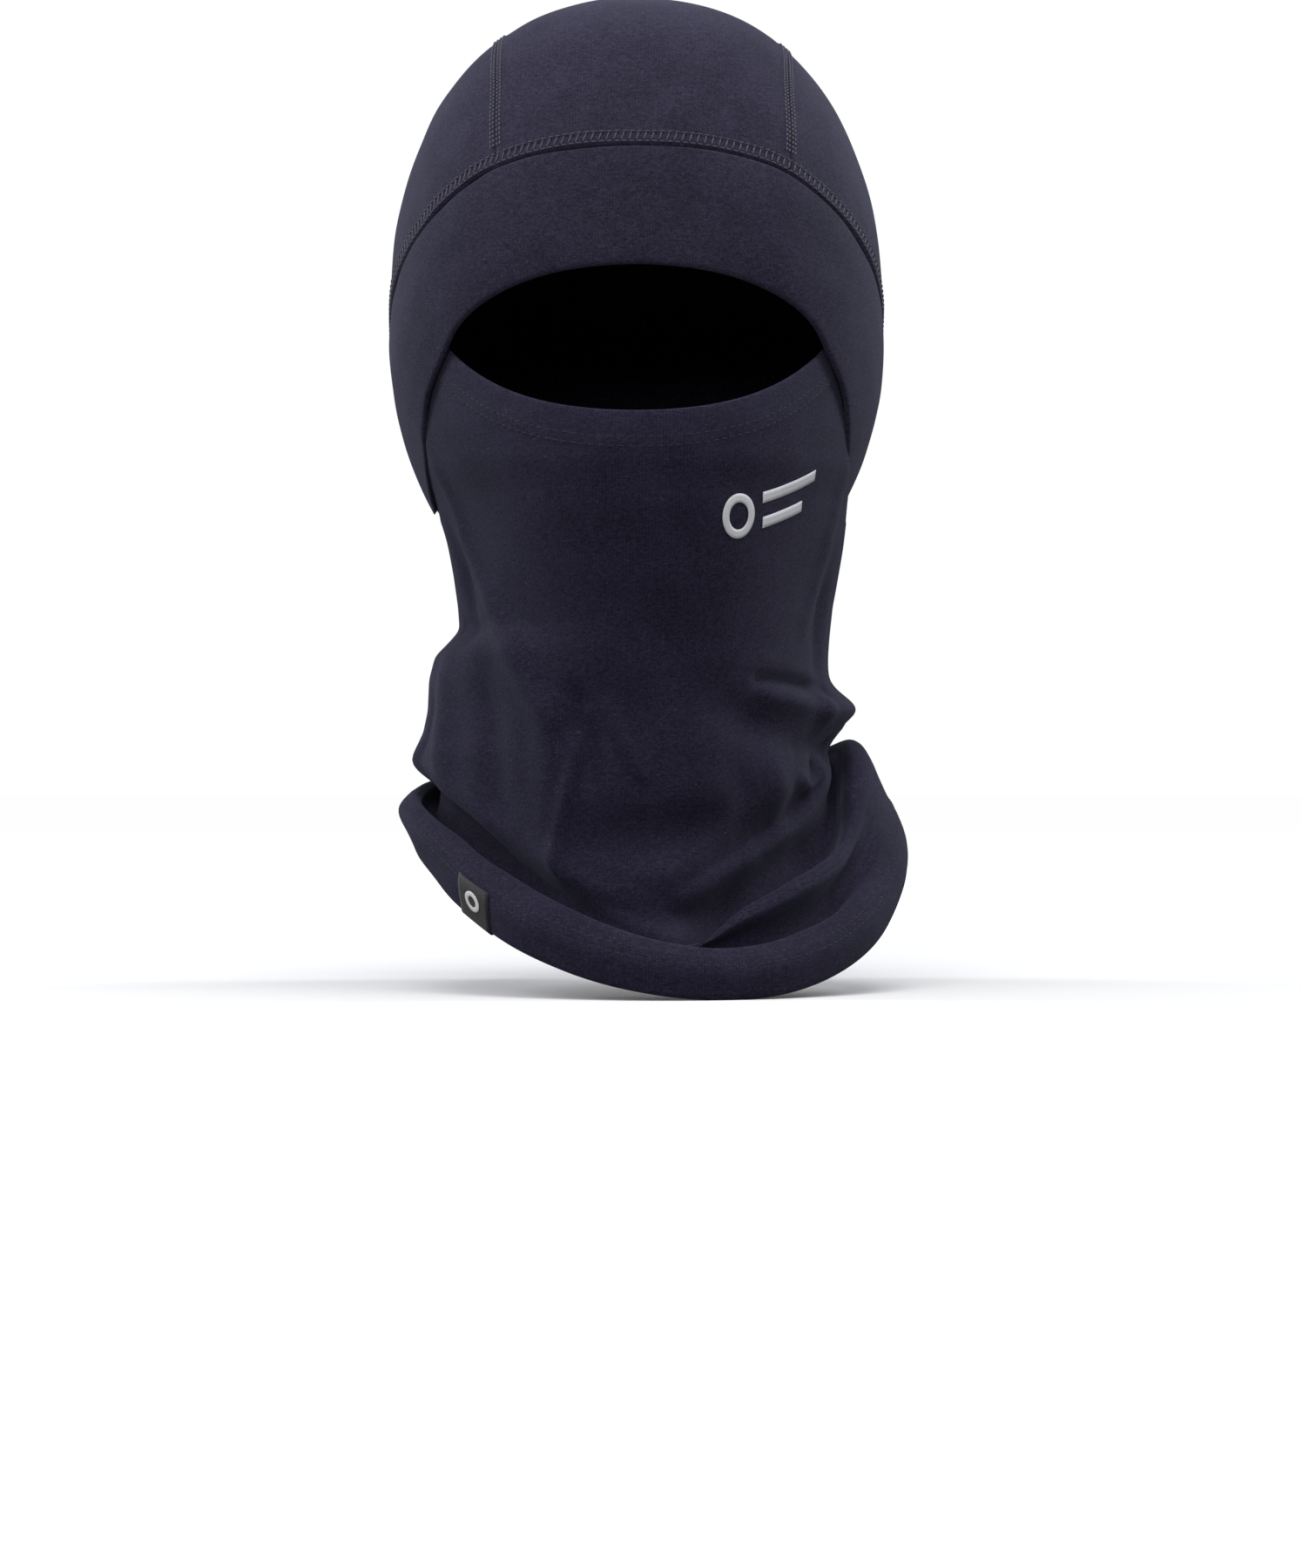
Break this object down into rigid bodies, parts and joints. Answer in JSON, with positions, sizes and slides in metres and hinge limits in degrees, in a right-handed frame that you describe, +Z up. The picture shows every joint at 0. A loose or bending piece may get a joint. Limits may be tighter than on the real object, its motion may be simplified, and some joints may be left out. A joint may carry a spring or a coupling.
{
  "type": "balaclava",
  "caption": "Knitted jersey balaclava: panelled hood with a folded brow band, eye opening, pull-down face mask and a neck tube that flares to a turned hem.",
  "frame": {"origin": "inside of the crown where it rests on the top of the head", "axes": "+Z up along the head, the face looks along -Y, +X is the wearer's left"},
  "size_m": [0.1828, 0.2282, 0.3438],
  "materials": {
    "jersey": "heathered knitted jersey, matte with a soft fuzz",
    "thread": "polyester sewing thread, satin",
    "label_tape": "woven tape, satin",
    "label_mark": "woven tape, matte",
    "print": "thin transfer print, satin"
  },
  "bodies": {
    "hood": {"crown_centre_panel": "jersey", "crown_left_panel": "jersey", "crown_right_panel": "jersey", "brow_band": "jersey", "crown_left_stitching": "thread", "crown_right_stitching": "thread", "band_stitching": "thread", "nape_stitching": "thread", "neck_tube": "jersey", "tube_back_stitching": "thread", "collar_hem_stitching": "thread", "hem_label": "label_tape", "hem_label_mark": "label_mark", "care_label": "label_mark"},
    "mask": {"mask_panel": "jersey", "mask_hem_stitching": "thread", "mask_print": "print"}
  },
  "joints": [
    {"name": "mask_pull_down", "type": "slide", "parent": "hood", "child": "mask", "axis": [0, 0, -1], "range_m": [0, 0.07]}
  ]
}
